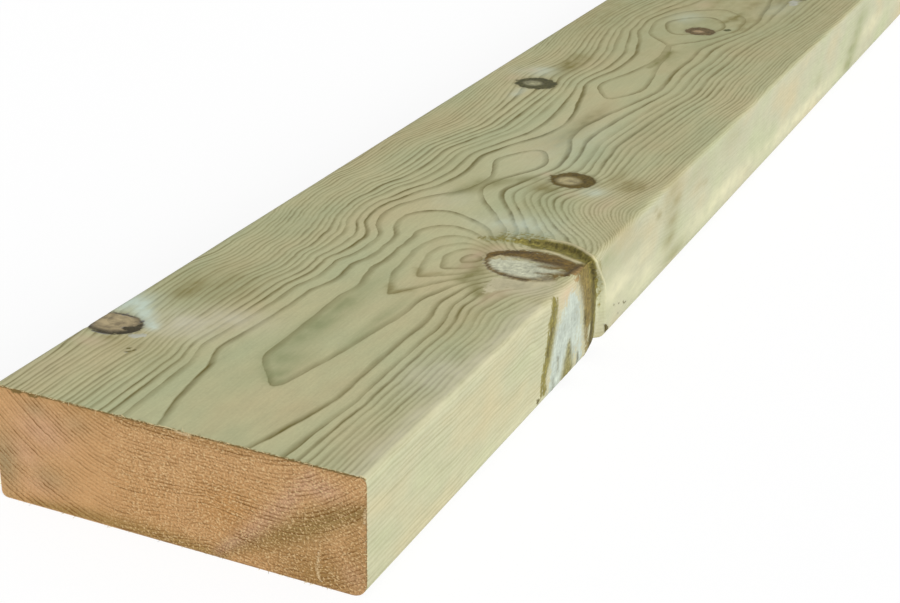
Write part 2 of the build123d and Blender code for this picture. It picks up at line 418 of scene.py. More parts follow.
scars = [
    {"name": "worn cream wood", "colour": "C3BB98", "torn": 0.15,
     "strokes": [(0.85, [(121, 151, 1.6), (122, 156, 4), (123, 161, 6), (129, 165, 6.4), (135, 168, 5),
          (140, 170, 3)])]},
    {"name": "chalky wood down the edge", "colour": "B4BCAF", "torn": 0.3,
     "strokes": [(0.9, [(154.5, 178, 2.4), (158, 178.6, 5.2), (162, 178, 8.6), (166, 176.8, 12.6),
          (170, 175.6, 15.2)]),
        (1, [(168, 167.4, 7.6), (176, 164.8, 6.8), (184, 163, 6.6), (192, 162, 6.2)]),
        (0.7, [(170, 186, 5), (177, 188.6, 4), (185, 189.6, 3.6), (192, 190, 3.4)])]},
    {"name": "brown torn grain", "colour": "7D6D3A", "torn": 0.9,
     "strokes": [(0.9, [(147, 190, 6.5), (153, 194, 6.6), (160, 196.6, 6), (168, 197.6, 5),
          (174, 198, 3.4)]), (0.62, [(174, 196, 3), (184, 197.4, 2.4), (192, 198, 2.4)])]},
    # torn olive grain; its long band along the foot of the hollow's wall (the third stroke) is darkened as
    # painted shade as well
    {"name": "split olive grain with painted shade at the wall's foot", "colour": "7C743A", "torn": 1,
     "strokes": [(0.5, [(98, 202, 4), (104, 205, 5), (110, 206.6, 5)]),
        (0.46, [(103, 208, 5), (112, 212, 6), (120, 213, 4)]),
        (1, [(112, 206, 3), (116, 206, 4.6), (120, 206.2, 5.8), (127, 206.8, 6.4), (133, 205.2, 6.6),
          (138.5, 202.5, 5.8), (143, 200, 4.6), (148, 199.4, 4.2), (153, 201, 4), (160, 204, 3.6),
          (170, 205, 3), (182, 204.4, 2.8), (192, 204, 2.8)]),
        (0.78, [(150, 159, 3.6), (157, 157.6, 4.6), (165, 155.6, 4.4), (172, 152.8, 4), (182, 149, 2.8)]),
        (0.85, [(173, 176.5, 0.8), (178, 176.3, 3), (183, 176, 4.6), (188, 176, 6), (193, 176, 6.4)]),
        (0.8, [(184.5, 149, 2.4), (185, 152, 2)]),
        (0.4, [(148, 205, 4), (156, 209, 4.4), (165, 211, 4.6), (174, 211, 3)])]},
    {"name": "dark fibres", "colour": "554C22", "torn": 1,
     "strokes": [(0.9, [(146, 199, 1.4), (151, 200.4, 1.8), (156, 202, 1.8), (163, 203.4, 2), (170, 204, 2),
          (177, 203.4, 1.6), (184, 203, 2.6), (192, 202.6, 2.6)]),
        (0.7, [(168, 194, 1), (172, 194.6, 1.6), (174, 194, 1)]),
        (0.85, [(117, 207.6, 1), (124, 208, 2.6), (131, 207, 3), (137, 204, 2.2)]),
        (1, [(186, 144.4, 1.2), (187.4, 145, 1.4)]), (1.1, [(185.6, 220.6, 1.2), (188, 222.8, 1.8)]),
        (0.7, [(182.4, 242, 0.6), (183.6, 245, 0.7)]), (0.6, [(178, 227, 0.5), (179.6, 232, 0.5)]),
        (0.6, [(184, 232, 0.5), (185, 236, 0.5)]), (0.6, [(180.5, 236, 0.4), (181.4, 239, 0.4)]),
        (0.7, [(162, 186, 0.5), (172, 187.6, 0.5)]), (0.75, [(184, 160.6, 0.7), (191, 161, 0.9)]),
        (0.75, [(184, 187.6, 0.7), (191, 188, 0.9)]), (0.6, [(176, 165, 0.5), (190, 164, 0.5)]),
        (0.7, [(159, 157.4, 0.9), (170, 153, 1)])]},
    {"name": "chalky heart", "colour": "C6C7AC", "torn": 0.45,
     "strokes": [(1.1, [(117, 178, 6), (121, 178.4, 7.4), (126, 178.4, 7.6), (129, 177, 6)]),
        (0.72, [(112.6, 180, 4), (116, 182, 5)]), (0.8, [(130, 180, 3), (136, 181.8, 2), (141, 182.6, 1)]),
        (0.66, [(131, 172.6, 2.6), (138, 174, 1.6)]), (0.55, [(132, 188, 1.6), (139, 188, 1)]),
        (0.5, [(117, 188.6, 1.4), (124, 189.4, 1.2)])]},
    {"name": "dirt on the sawn edge", "colour": "7F6C40", "torn": 0.5,
     "strokes": [(0.62, [(0, -0.2, 1), (147, -0.2, 1)]), (0.45, [(147, -0.2, 0.8), (190, -0.2, 0.8)])]},
    {"name": "bark ring", "colour": "6A5525", "torn": 0.9,
     "strokes": [(1, [(131, 169.4, 1.7), (127, 168.8, 1.8), (122, 169.4, 1.4), (117, 170.6, 1.2),
          (112.5, 173.2, 1.2), (109.4, 177, 0.9), (107.6, 181.5, 1.1), (107, 186, 1.8), (109.6, 189.6, 2.6),
          (114, 191.8, 3.4), (119, 193, 4.4), (125, 193.4, 4.8), (131, 192.8, 5), (136.5, 191.2, 4.6),
          (141, 188.8, 3.6)]), (0.62, [(134, 171, 2.2), (138, 175, 3), (140.6, 180, 3), (142.6, 186, 2)]),
        (0.7, [(130, 184.6, 1.3), (135.5, 184.8, 1.6), (139, 186, 1.2)]),
        (0.7, [(131.5, 177.2, 0.9), (137, 178.6, 1.2)])]},
    {"name": "dark bark", "colour": "44351A", "torn": 0.8,
     "strokes": [(0.85, [(129.6, 169, 1), (124, 169, 0.8), (119, 170, 0.7)]),
        (0.9, [(143.4, 180, 0.6), (143.7, 186, 0.8), (143, 192, 0.9)]),
        (0.7, [(108.6, 187.4, 1), (114, 193.4, 1.2), (121, 196, 1)]),
        (0.7, [(126, 189.6, 1.2), (137, 189.8, 1.4)])]},
    {"name": "black knot rim", "colour": "39331F", "torn": 0.5,
     "strokes": [(0.95, [(1.2, 54, 1), (5, 52.9, 1), (10, 52.3, 1), (14.5, 53.2, 1.1), (18, 55.6, 1.2),
          (20, 59, 1.1), (19.3, 63.4, 1), (17, 66.8, 0.8)]), (1.1, [(17.4, 58.2, 1.9), (18.4, 59.8, 1.9)]),
        (0.8, [(14.6, 59.4, 0.7), (16, 59.2, 1)]), (0.6, [(13, 68.4, 0.6), (8, 69, 0.7), (3, 68.4, 0.7)])]},
    {"name": "rust-coloured chip", "colour": "9C7F50", "torn": 0.5,
     "strokes": [(0.75, [(145.4, 183.4, 1), (145.6, 186, 1.5), (145.4, 190.4, 1.2)]),
        (0.6, [(148.6, 181, 1), (149, 184, 1.1)])]},
    {"name": "white under the black rim", "colour": "B7B7A6", "torn": 0.2,
     "strokes": [(0.8, [(20.8, 53.6, 1.5), (23.4, 55.8, 2), (25.2, 57.2, 1)]),
        (0.95, [(110.5, 654, 2.4), (109, 660, 3.2), (108, 664, 2)])]},
    # the first stroke is a pale cream line on the ramp, the second a painted highlight along the rim of the
    # hollow on the upper face
    {"name": "cream line and painted rim highlight of the hollow", "colour": "D0C79E",
     "strokes": [(0.8, [(113, 198.4, 0.5), (119, 199.4, 0.8), (126, 200.2, 0.9), (131, 199.2, 0.9),
          (136, 197, 0.9), (142, 194.6, 0.8)]),
        (0.62, [(122, 213.2, 0.7), (129, 213.4, 0.9), (134, 212.4, 0.9), (138.5, 209.8, 0.9),
          (143, 206, 0.8), (147, 204, 0.8)])]},
    # a painted highlight: a bright line along the rim of the hollow, down the right edge
    {"name": "painted rim highlight of the hollow down the edge", "colour": "C9C6A2",
     "strokes": [(0.6, [(148, 204.4, 0.7), (150, 205.4, 0.8), (154, 208.4, 0.8), (159, 213, 0.8),
          (164, 217, 0.8), (171, 219.4, 0.7)])]},
    {"name": "dark specks", "colour": "6E6536", "torn": 0.4,
     "strokes": [(0.8, [(113, 665, 2.2), (113.6, 668, 2.4)]),
        (0.75, [(25.6, 43.2, 0.7), (27.6, 42.8, 0.7), (28.8, 44.6, 0.7), (27.8, 46.4, 0.7), (25.9, 46, 0.7),
          (25.4, 43.6, 0.7)])]},
]

# How steeply stains and scars end, how fast a stroke fades towards its half width, how many half widths
# out it is followed, and how a mark of the upper face alone ends on the right arris: over so many mm,
# so far past the edge.
fading = {"stain": 1.0, "scar": 1.6, "stroke": 0.7, "reach": 3, "over": 3, "past": 1}


def onSheet(across, centre):
    # distance round the section, the short way
    return (across - centre + girth / 2) % girth - girth / 2


def coverage(mark, across, y, sharp):
    # How much the mark covers each point: the strongest of its spots and strokes. A spot fades with the
    # distance in its own oval, a stroke with the distance from its line over its half width there.
    total = np.zeros(across.shape)
    for u, v, halfAcross, halfAlong, amount in mark.get("spots", []):
        far = (onSheet(across, u) / halfAcross) ** 2 + ((y - v) / halfAlong) ** 2
        total = np.maximum(total, amount * np.exp(-(far**sharp)))
    for amount, points in mark.get("strokes", []):
        line = np.array(points, float)
        for (u0, v0, half0), (u1, v1, half1) in zip(line[:-1], line[1:]):
            reach = fading["reach"] * max(half0, half1)
            near = (across > min(u0, u1) - reach) & (across < max(u0, u1) + reach) & (
                y > min(v0, v1) - reach) & (y < max(v0, v1) + reach)
            u, v, du, dv = across[near] - u0, y[near] - v0, u1 - u0, v1 - v0
            share = np.clip((u * du + v * dv) / (du**2 + dv**2), 0, 1)
            far = np.hypot(u - share * du, v - share * dv) / (half0 + share * (half1 - half0))
            total[near] = np.maximum(total[near], amount * np.exp(-(far ** (2 * sharp)) * fading["stroke"]))
    return total


def paintMarks(marks, kind, across, y):
    # The marks one over the other: their mixed colour, how much they cover, and how torn they are.
    colour = np.ones(across.shape + (3,)) * 0.5
    cover, torn = np.zeros(across.shape), np.zeros(across.shape)
    for mark in marks:
        share = np.clip(coverage(mark, across, y, fading[kind]), 0, 1)
        if mark.get("upperOnly"):
            share = share * np.clip((board["width"] + fading["past"] - across) / fading["over"], 0, 1)
        after = share + cover * (1 - share)
        mix = np.where(after > 1e-4, share / np.maximum(after, 1e-4), 0)
        colour = colour * (1 - mix[..., None]) + np.array(paint(mark["colour"])[:3]) * mix[..., None]
        torn = torn * (1 - mix) + mark.get("torn", 0) * mix
        cover = after
    return np.concatenate([colour, cover[..., None]], -1), torn


# Torn grain behind the edge knot

tear = {
    "rim": [(97, 205), (108, 206.5), (116, 209.5), (122, 212.4), (129, 212.8), (134, 211.6), (138.5, 209.2),
        (143, 205.4), (147, 203.2), (150, 204.4), (154, 207.4), (159, 212), (164, 216.4), (172, 219.4),
        (192, 221.5), (384, 214)],
    "depth": [(0, 0), (103, 0), (112, 1.2), (122, 2.3), (135, 2.7), (150, 2.8), (160, 3.1), (175, 3.5),
        (192, 3.9), (202, 0), (384, 0)],
    "ramp": 24.0,  # mm along the board, down to the wall
    "bend": 1.4,  # how much the ramp is hollowed, 1 for not at all
    "wall": 2.2,
    "insideFrom": (146, 4),  # past here, over 4 mm, it goes in straight across the board
    # the marks were placed against the flat faces, and lie so much further along per mm of depth
    "markShift": 2.5,
    # The mesh's rows lean to follow the rim, on this stretch of the sheet, which starts over 25 mm and
    # ends over 15, and most of all at 211 mm from the near end, less so 28 mm either way.
    "rowsFrom": (92, 25), "rowsTo": (212, 15), "rowsAt": (211, 28),
}

# Stations along the board: from, to, spacing. They are close where the hollow's wall is, and past the
# far edge of the picture each knot brings its own.
stations = [(0, 4, 1.0), (4, 150, 2.4), (150, 190, 1.6), (190, 204, 1.2), (204, 214, 0.5), (214, 236, 1.6),
            (236, 340, 2.3), (340, 640, 3.9), (640, 840, 7.0), (840, 2396, 34.0), (2396, 2400, 1.5)]
knotStations = {"past": 840, "before": 13, "after": 22, "spacing": 3.4}
# faces across the upper face, the underside, either edge, and round a small and the big arris
sectionFaces = {"upper": 96, "under": 60, "edge": 25, "arris": 4, "roundArris": 6}

# Relief of the long faces, in mm. A ripple is (height, size, seed), and the short one is stretched
# along the board. The groove round a knot is (depth, where in the knot's oval, width). All of it
# settles towards the ends. The narrow edges show fainter lines, from the hollow on most of all.
relief = {"long": (0.05, 60, 3), "short": (0.04, 9, 4), "stretch": 0.4, "torn": (0.28, 3.4, 12),
          "groove": (0.35, 0.96, 0.06), "settle": 3}
fainter = [(190, 0.68), (240, 1)]


def hollow(across, y):
    # A ramp down to the wall, hollowed a little, then the short steep wall, both along the board.
    rim = along(tear["rim"], across, 2)
    depth = along(tear["depth"], across, 2)
    ramp = np.clip((y - rim + tear["ramp"]) / (tear["ramp"] - tear["wall"]), 0, 1)
    wall = np.clip((rim - y) / tear["wall"], 0, 1)
    return depth * np.minimum(ramp ** tear["bend"], wall)


def section():
    # The rounded rectangle as x, z and outward normal, with the sheet's across, once round from the
    # upper left. Flats are even steps, arrises quarter circles.
    w, t, eased, rounded = board["width"], board["thickness"], board["arris"], board["roundArris"]
    runs = [
        ((eased, t), (w - eased, t), "upper", 90, eased),
        ((w, t - eased), (w, rounded), "edge", 0, rounded),
        ((w - rounded, 0), (eased, 0), "under", -90, eased),
        ((0, eased), (0, t - eased), "edge", 180, eased),
    ]
    parts = []
    across = eased
    for start, end, side, angle, radius in runs:
        share = np.arange(sectionFaces[side]) / sectionFaces[side]
        x = start[0] + (end[0] - start[0]) * share
        z = start[1] + (end[1] - start[1]) * share
        span = math.dist(start, end)
        normal = math.radians(angle)
        parts.append([x, z, np.full_like(x, math.cos(normal)), np.full_like(x, math.sin(normal)),
                      across + span * share])
        across += span
        turns = sectionFaces["arris" if radius == eased else "roundArris"]
        turn = np.arange(turns) / turns
        theta = np.radians(angle - 90 * turn)
        centreX = end[0] - radius * math.cos(normal)
        centreZ = end[1] - radius * math.sin(normal)
        parts.append([centreX + radius * np.cos(theta), centreZ + radius * np.sin(theta), np.cos(theta),
                      np.sin(theta), across + 2 * radius * turn])
        across += 2 * radius
    return [np.concatenate(column) for column in zip(*parts)]


def ripple(u, v, height, size, seed):
    # gentle unevenness up and down by height: a few sine waves in random directions, about size mm long
    random = np.random.default_rng(seed)
    total, waves = 0, 6
    for _ in range(waves):
        angle, phase = random.uniform(0, math.tau, 2)
        wave = math.tau / (size * random.uniform(0.6, 1.6))
        total = total + np.sin(wave * (u * math.cos(angle) + v * math.sin(angle)) + phase)
    return height * (total / waves)


def plankSkin():
    # The section carried along the stations, and moved along its normals by the gaps round the knots
    # and the roughness of torn grain. The hollow pushes it in, down the edge straight across the board.
    # Gives the points and the fields the materials read.
    sectionX, sectionZ, normalX, normalZ, around = section()
    rows = [np.arange(a, b, step) for a, b, step in stations] + [[board["length"]]]
    near = np.arange(-knotStations["before"], knotStations["after"], knotStations["spacing"])
    rows += [knot["at"][1] + near for knot in knots if knot["at"][1] > knotStations["past"]]
    rows = np.unique(np.concatenate(rows))
    across, y = np.meshgrid(around, rows)
    x, z, nx, nz = (np.meshgrid(column, rows)[0] for column in (sectionX, sectionZ, normalX, normalZ))
    (start, into), (end, outOf), (middle, far) = tear["rowsFrom"], tear["rowsTo"], tear["rowsAt"]
    leaning = np.clip((around - start) / into, 0, 1) * np.clip((end - around) / outOf, 0, 1)
    y = y + (along(tear["rim"], across, 2) - middle) * np.exp(-((y - middle) / far) ** 2) * leaning

    depth = board["thickness"] - z
    edge, heart, soft, tone, rim = knotFields(x, y, depth)
    depthIn = hollow(across, y)
    flatY = y - tear["markShift"] * depthIn
    stain, _ = paintMarks(stains, "stain", across, flatY)
    scar, torn = paintMarks(scars, "scar", across, flatY)
    number = ringNumber(x, y, depth)
    fields = {"ring": number, "pace": ringPace(x, y, depth, number, (nx, 0, nz)),
              "narrowEdge": nx**2 * np.interp(y, *zip(*fainter)), "knotEdge": edge, "knotHeart": heart,
              "knotSoft": soft, "torn": torn * scar[..., 3], "knotTone": tone, "knotRim": rim,
              "stain": stain, "scar": scar}

    height = ripple(across, y, *relief["long"]) + ripple(across, y * relief["stretch"], *relief["short"])
    deep, place, width = relief["groove"]
    height = height - deep * np.exp(-((edge - place) / width) ** 2)
    height = height + fields["torn"] * ripple(across, y, *relief["torn"])
    height = height * np.clip(np.minimum(y, board["length"] - y) / relief["settle"], 0, 1)
    start, into = tear["insideFrom"]
    below = np.clip((across - start) / into, 0, 1)
    x = x + nx * height - (nx + (1 - nx) * below) * depthIn
    z = np.clip(z + nz * height - nz * (1 - below) * depthIn, 0, None)
    return x, y, z, fields


# The saw cuts, in mm: how far each ring of the end's mesh is drawn in from its outline, how deep the
# face lies behind the end, its roughness as (height, size, seed), and where on the left the roughness
# and the fuzz are weaker: (up to this x, rising over so much, least share).
cut = {
    "insets": [0.35, 1.1, 2.1, 3.3, 4.7, 6.3, 8.1, 10.1, 12.3, 14.7, 17.2, 19.8, 22.5],
    "behind": 0.14, "fine": (0.1, 2.4, 8), "coarse": (0.08, 11, 9),
    "rough": (42, 20, 0.3), "fuzzy": (36, 22, 0.28),
}


def fromLeft(x, kind):
    # a share that is least on the left of the cut and rises to 1
    start, over, least = cut[kind]
    return np.clip((x - start) / over, least, 1)


def sawnEnd(x, y, z, inwards):
    # Rings of the end's outline, each drawn in towards the middle line of the section.
    share = np.array(cut["insets"])[:, None] / cut["insets"][-1]
    half = board["thickness"] / 2
    middleX = np.clip(x, half, board["width"] - half)
    ringX, ringZ = x + (middleX - x) * share, z + (half - z) * share
    rough = ripple(ringX, ringZ, *cut["fine"]) + ripple(ringX, ringZ, *cut["coarse"])
    ringY = y + inwards * (cut["behind"] + fromLeft(ringX, "rough") * rough)
    ringY[-1] = ringY[-1].mean()
    return ringX, ringY, ringZ


def gridFaces(first, second):
    # quads between rows of vertex numbers, closed round the section
    a, b = first, np.roll(first, -1, axis=-1)
    c, d = np.roll(second, -1, axis=-1), second
    return np.stack([a, b, c, d], -1).reshape(-1, 4)


def endFaces(outline, x, z, start):
    # faces of the sawn end: rings of quads, and on the middle line, where points meet, triangles
    grid = start + np.arange(x.size).reshape(x.shape)
    last = np.stack([x[-1], z[-1]], -1).round(4)
    _, firstOf, same = np.unique(last, axis=0, return_index=True, return_inverse=True)
    grid[-1] = grid[-1][firstOf[same.ravel()]]
    quads = gridFaces(np.vstack([outline[None], grid[:-2]]), grid[:-1])
    a, b = grid[-2], np.roll(grid[-2], -1)
    c, d = np.roll(grid[-1], -1), grid[-1]
    triangles = np.vstack([np.stack([a, b, c], -1), np.stack([a, c, d], -1)])
    distinct = (triangles[:, 0] != triangles[:, 1]) & (triangles[:, 1] != triangles[:, 2]) & (
        triangles[:, 0] != triangles[:, 2])
    return quads, triangles[distinct]


def makeMesh(name, place, faces):
    # places in mm from the corner of the board, put into the frame
    mesh = bpy.data.meshes.new(name)
    world = (place - (board["width"] / 2, board["length"] / 2, 0)) * millimetre
    mesh.from_pydata(world.tolist(), [], faces)
    mesh.update()
    return mesh


def addObject(mesh):
    made = bpy.data.objects.new(mesh.name, mesh)
    bpy.context.collection.objects.link(made)
    return made


# Marks on the sawn ends, as on the long faces but placed by (x, depth)
endStains = [
    {"name": "preservative that soaked in from below", "colour": "857338",
     "spots": [(5, 46, 9, 3, 0.4)],
     "strokes": [(0.6, [(14, 44.6, 2), (40, 43.6, 3.2), (62, 43.4, 3.6), (92, 44.4, 2.4)])]},
    {"name": "olive band along the rings", "colour": "8E7845",
     "strokes": [(0.85, [(94, 40, 2.5), (112, 31, 4.4), (126, 23.5, 5), (136, 17, 4), (146, 13, 3)])]},
    {"name": "orange wood", "colour": "C08C4E",
     "spots": [(95, 25, 14, 10, 0.5), (62, 30, 14, 12, 0.2)]},
    {"name": "damp lower corner", "colour": "957641",
     "spots": [(130, 41, 17, 9, 0.75), (143, 30, 5, 12, 0.45), (70, 1, 60, 3, 0.4)]},
    {"name": "pinkish wood", "colour": "CCA48A",
     "spots": [(130, 8.5, 8, 4, 0.6), (20, 14, 12, 8, 0.5), (12, 24, 8, 8, 0.4), (16, 36, 9, 5, 0.3),
        (142, 38, 5, 5, 0.3)],
     "strokes": [(0.5, [(90, 43, 1.5), (104, 31, 3), (118, 16, 3), (127, 4, 2)])]},
    {"name": "grey-green sapwood", "colour": "968A68",
     "spots": [(2.5, 30, 6, 11, 0.7), (22, 32, 8, 5, 0.4), (18, 6, 5, 3, 0.4), (35, 8, 7, 4, 0.3)]},
]
endScars = [
    {"name": "dirt on the saw's exit edge", "colour": "7A6438",
     "strokes": [(0.75, [(3, 0.2, 0.5), (60, 0.3, 0.5), (110, 0.2, 0.6), (144, 0.4, 0.6)]),
        (0.8, [(9, 0.8, 0.9), (12, 0.8, 1)]), (0.8, [(16, 0.7, 0.9), (19, 0.6, 0.9)]),
        (0.5, [(147, 3, 0.4), (147, 40, 0.5)])]},
    {"name": "lifted fibre", "colour": "D8BE92",
     "strokes": [(0.6, [(129.4, 32, 0.7), (128.6, 38, 0.9), (129, 43, 0.8)]),
        (0.8, [(76, 0.4, 0.8), (81, 0.4, 0.7)]), (0.6, [(146.4, 12, 0.6), (146, 16, 0.7)])]},
]


def newSurface(name, roughness, specular):
    material = bpy.data.materials.new(name)
    material.use_nodes = True
    shader = material.node_tree.nodes["Principled BSDF"]
    shader.inputs["Roughness"].default_value = roughness
    shader.inputs["Specular IOR Level"].default_value = specular
    return material, material.node_tree, shader


# How a material is worked out: a list of steps, each with the name of its result, its kind, and the
# names or numbers it takes. FOLLOW and EASE take a value, where it starts and ends, and what they give
# at either, in a straight or a soft line. MIX takes how much, the colour under and the one over it.
# SHADE darkens and lightens. CHANCE draws a number for each whole one. The rest is arithmetic.
kinds = {
    "FOLLOW": ("MapRange", (0, 1, 2, 3, 4), 0, {}),
    "EASE": ("MapRange", (0, 1, 2, 3, 4), 0, {"interpolation_type": "SMOOTHSTEP"}),
    "MIX": ("Mix", (0, 6, 7), 2, {"data_type": "RGBA"}),
    "SHADE": ("Mix", (0, 6, 7), 2, {"data_type": "RGBA", "blend_type": "MULTIPLY"}),
    "CHANCE": ("TexWhiteNoise", (1,), 0, {"noise_dimensions": "1D"}),
}

# The late wood line of each ring: it starts softly, darkens over the last lineWidth mm before the ring
# ends, and drops at once, within fadeWidth. Close rings have narrower lines, of less than half the
# ring. A weak skirt runs back through the whole ring. Each ring has its own strength. The noise moves
# the lines sideways, by wanderWidth mm in all.
ringSteps = [
    ("moved", "SUBTRACT", "wander", 0.5), ("moved", "MULTIPLY", "moved", "wanderWidth"),
    ("number", "MULTIPLY_ADD", "moved", "pace", "ring"), ("part", "FRACT", "number"),
    ("left", "SUBTRACT", 1, "part"), ("before", "DIVIDE", "left", "pace"),
    ("after", "DIVIDE", "part", "pace"), ("byWidth", "FOLLOW", "before", "lineWidth", 0.2, 0, 1),
    ("byShare", "FOLLOW", "left", 0.45, 0.08, 0, 1),
    ("line", "MINIMUM", "byWidth", "byShare"),
    ("fade", "FOLLOW", "after", 0, "fadeWidth", 1, 0), ("line", "MAXIMUM", "line", "fade"),
    ("skirt", "FOLLOW", "left", 1, 0, 0, "skirtShare"), ("line", "MAXIMUM", "line", "skirt"),
    ("whole", "FLOOR", "number"), ("chance", "CHANCE", "whole"),
    ("strength", "FOLLOW", "chance", 0, 1, "weakest", 1), ("line", "MULTIPLY", "line", "strength"),
]

# Planed face of pressure-treated pine: the knives leave it matt and slightly fuzzy. Pale green-cream
# early wood, thin olive-brown late wood lines, blotches where the preservative took unevenly. The
# narrow edges are paler and their lines fainter.
planed = {
    "colours": {"early": "C0BD93", "late": "6B6230", "narrowEarly": "B7B69A", "pinkish": "C6B289",
                "greenish": "B3BB93", "knotShadow": "6E6440"},
    "roughness": 0.8,
    "specular": 0.3,
    "bump": 1,  # mm
    "fields": ["ring", "pace", "narrowEdge", "knotEdge", "knotHeart", "knotSoft", "knotTone", "knotRim",
               "stain", "scar", "torn"],
    # name: (size in x, y and z mm, detail, turn about y)
    "noise": {
        "wander": ((1.8, 12, 1.8), 5, 0), "patch": ((6, 34, 6), 4, 0), "drift": ((26, 60, 26), 3, 0),
        "blotch": ((5, 11, 5), 4, 0), "fibre": ((0.7, 12, 0.7), 4, 0), "fuzz": ((0.9, 1.5, 0.9), 5, 0),
        "speck": ((1.2, 2.2, 1.2), 5, 0), "splinter": ((3.6, 1.3, 5), 4, 20),
        "knotGrain": ((3.4, 3.4, 3.4), 4, 0),
    },
    "numbers": {"wanderWidth": 1.2, "lineWidth": 3.5, "fadeWidth": 0.6, "skirtShare": 0.12, "weakest": 0.5,
                "lateShare": 1, "narrowShare": 0.18},
    "steps": ringSteps + [
        # early wood, drifting between pinkish and greenish
        ("wood", "MIX", "narrowEdge", "early", "narrowEarly"),
        ("share", "FOLLOW", "drift", 0.5, 0.7, 0, 0.42), ("wood", "MIX", "share", "wood", "pinkish"),
        ("share", "FOLLOW", "drift", 0.5, 0.32, 0, 0.5), ("wood", "MIX", "share", "wood", "greenish"),
        # ring lines: fainter on the narrow edges, stronger in some patches, fainter where they crowd
        ("share", "FOLLOW", "narrowEdge", 0, 1, "lateShare", "narrowShare"),
        ("lines", "MULTIPLY", "line", "share"),
        ("share", "FOLLOW", "patch", 0.3, 0.7, 0.45, 1.25), ("lines", "MULTIPLY", "lines", "share"),
        ("share", "FOLLOW", "pace", 0.12, 0.45, 1.15, 0.6), ("lines", "MULTIPLY", "lines", "share"),
        ("wood", "MIX", "lines", "wood", "late"),
        # mottling
        ("mottle", "MULTIPLY_ADD", "drift", 0.1, 0.65),
        ("mottle", "MULTIPLY_ADD", "blotch", 0.18, "mottle"),
        ("mottle", "MULTIPLY_ADD", "fibre", 0.22, "mottle"),
        ("mottle", "MULTIPLY_ADD", "fuzz", 0.2, "mottle"),
        ("wood", "SHADE", 1, "wood", "mottle"),
        # stains, streaky along the grain
        ("share", "FOLLOW", "blotch", 0.3, 0.68, 0.55, 1.3), ("share", "MULTIPLY", "stainCover", "share"),
        ("share", "MINIMUM", "share", 1), ("wood", "MIX", "share", "wood", "stainColour"),
        # knots: the bark ring and the heart, whose own rings run round it, and a halo round the whole
        ("uneven", "MULTIPLY_ADD", "knotGrain", 0.42, -0.21), ("edgeAt", "ADD", "knotEdge", "uneven"),
        ("heartAt", "MULTIPLY_ADD", "uneven", 1.6, "knotHeart"),
        ("flecks", "FOLLOW", "speck", 0.35, 0.68, 0.7, 1.5), ("bark", "SHADE", 1, "knotRimColour", "flecks"),
        ("turns", "MULTIPLY", "heartAt", 2.6), ("turns", "FRACT", "turns"),
        ("turns", "FOLLOW", "turns", 0.5, 1, 1, 0.8), ("heart", "SHADE", 1, "knotToneColour", "turns"),
        ("dull", "FOLLOW", "knotGrain", 0.35, 0.62, 0.58, 1.15), ("heart", "SHADE", 1, "heart", "dull"),
        ("reach", "MULTIPLY_ADD", "knotSoft", 0.5, 1), ("share", "EASE", "heartAt", "reach", 0.72, 0, 1),
        ("knot", "MIX", "share", "bark", "heart"),
        ("share", "FOLLOW", "edgeAt", 1.3, 1, 0, 0.3), ("wood", "MIX", "share", "wood", "knotShadow"),
        ("share", "EASE", "edgeAt", 1.07, 0.93, 0, 1), ("wood", "MIX", "share", "wood", "knot"),
        # scars with ragged edges, speckled where the grain is torn
        ("contrast", "MULTIPLY_ADD", "speck", 2.2, -2.1),
        ("contrast", "MULTIPLY_ADD", "splinter", 2, "contrast"), ("contrast", "MULTIPLY", "contrast", "torn"),
        ("contrast", "MULTIPLY_ADD", "blotch", 0.7, "contrast"),
        ("contrast", "ADD", "contrast", 0.65), ("scarred", "SHADE", 1, "scarColour", "contrast"),
        ("share", "SUBTRACT", "speck", 1), ("share", "ADD", "splinter", "share"),
        ("share", "ADD", "scarCover", "share"), ("share", "EASE", "share", 0.3, 0.72, 0, 1),
        ("wood", "MIX", "share", "wood", "scarred"),
        # relief too fine for the mesh: fibres, and splinters in the torn grain
        ("height", "MULTIPLY", "fibre", 0.06), ("height", "MULTIPLY_ADD", "line", -0.015, "height"),
        ("splinters", "MULTIPLY", "speck", "torn"), ("height", "MULTIPLY_ADD", "splinters", 0.8, "height"),
    ],
}
